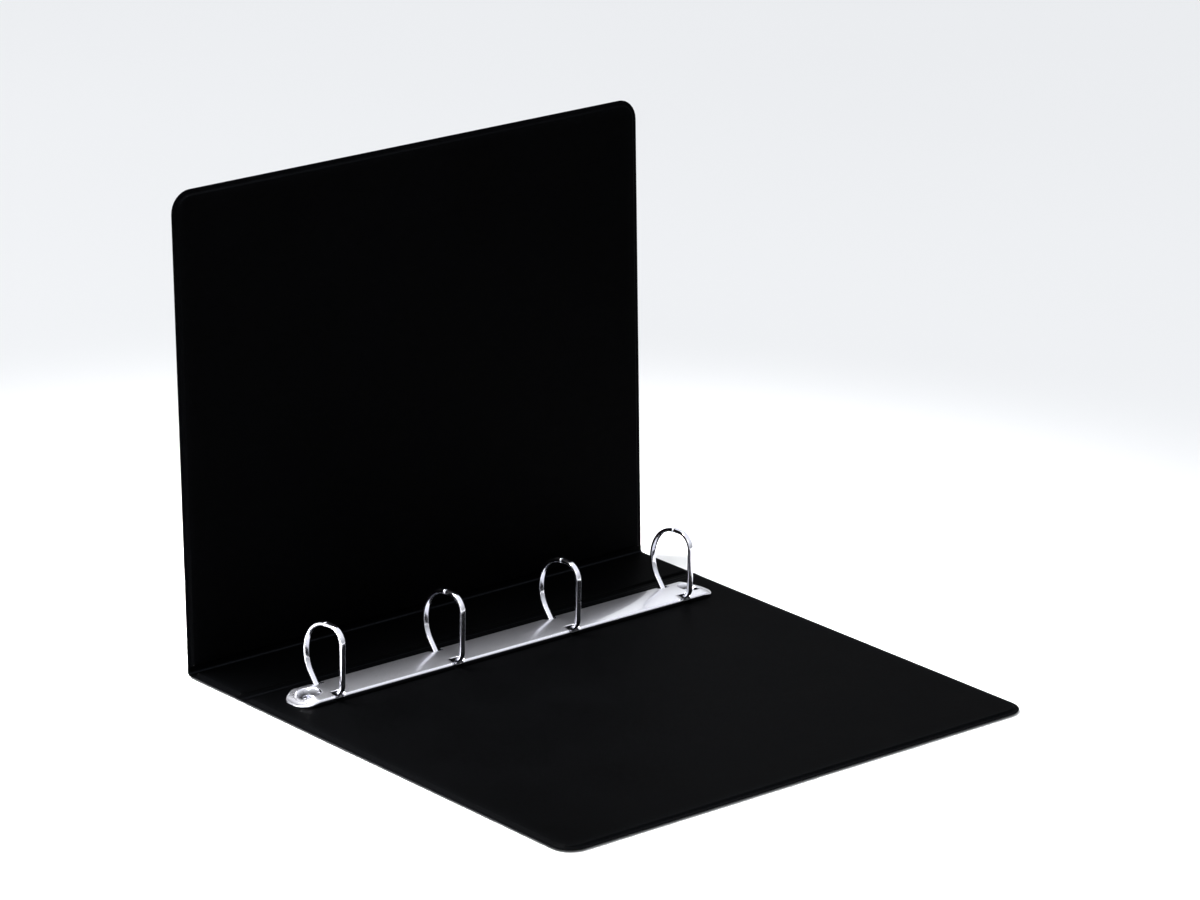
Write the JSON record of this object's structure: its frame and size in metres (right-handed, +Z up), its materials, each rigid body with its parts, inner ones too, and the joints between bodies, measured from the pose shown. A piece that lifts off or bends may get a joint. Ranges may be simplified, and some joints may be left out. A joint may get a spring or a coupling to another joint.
{
  "type": "ring binder",
  "caption": "Ring binder with hinged covers and spine, clear outside pockets, and a sprung mechanism whose D-shaped rings hold punched paper.",
  "frame": {"origin": "on the resting plane under the middle of the ring mechanism, midway between the bottom and top edges", "axes": "+X from the spine to the back cover's free edge, +Y from the bottom edge to the top edge, +Z up from the resting plane"},
  "size_m": [0.3235, 0.315, 0.2631],
  "materials": {
    "vinyl": "satin",
    "vinyl_inside": "matte",
    "board": "matte",
    "clear_film": "gloss",
    "nickel": "polished",
    "blade_steel": "satin"
  },
  "bodies": {
    "back_cover": {"back_board": "board", "back_outer_skin": "vinyl", "back_liner": "vinyl_inside", "back_hinge_web": "vinyl", "ring_cover_plate": "nickel", "mechanism_rivets": "nickel"},
    "spine": {"spine_board": "board", "spine_outer_skin": "vinyl", "spine_liner": "vinyl_inside", "spine_pocket_film": "clear_film", "front_hinge_web": "vinyl"},
    "front_cover": {"front_board": "board", "front_outer_skin": "vinyl", "front_liner": "vinyl_inside", "front_pocket_film": "clear_film"},
    "left_rings": {"left_blade": "blade_steel", "ring_left_1": "nickel", "ring_left_2": "nickel", "ring_left_3": "nickel", "ring_left_4": "nickel"},
    "right_rings": {"right_blade": "blade_steel", "ring_right_1": "nickel", "ring_right_2": "nickel", "ring_right_3": "nickel", "ring_right_4": "nickel"}
  },
  "joints": [
    {"name": "spine_hinge", "type": "hinge", "parent": "back_cover", "child": "spine", "pos_m": [-0.0245, 0, 0.0013], "axis": [0, 1, 0], "range_deg": [0, 90]},
    {"name": "front_cover_hinge", "type": "hinge", "parent": "spine", "child": "front_cover", "pos_m": [-0.071, 0, 0.0013], "axis": [0, 1, 0], "range_deg": [-87.5, 4]},
    {"name": "left_ring_hinge", "type": "hinge", "parent": "back_cover", "child": "left_rings", "pos_m": [-0.0102, 0, 0.0042], "axis": [0, -1, 0], "range_deg": [0, 9]},
    {"name": "right_ring_hinge", "type": "hinge", "parent": "back_cover", "child": "right_rings", "pos_m": [0.0102, 0, 0.0042], "axis": [0, 1, 0], "range_deg": [0, 9]}
  ],
  "couplings": [
    {"joint": "left_ring_hinge", "follows": "right_ring_hinge", "ratio": 1}
  ]
}
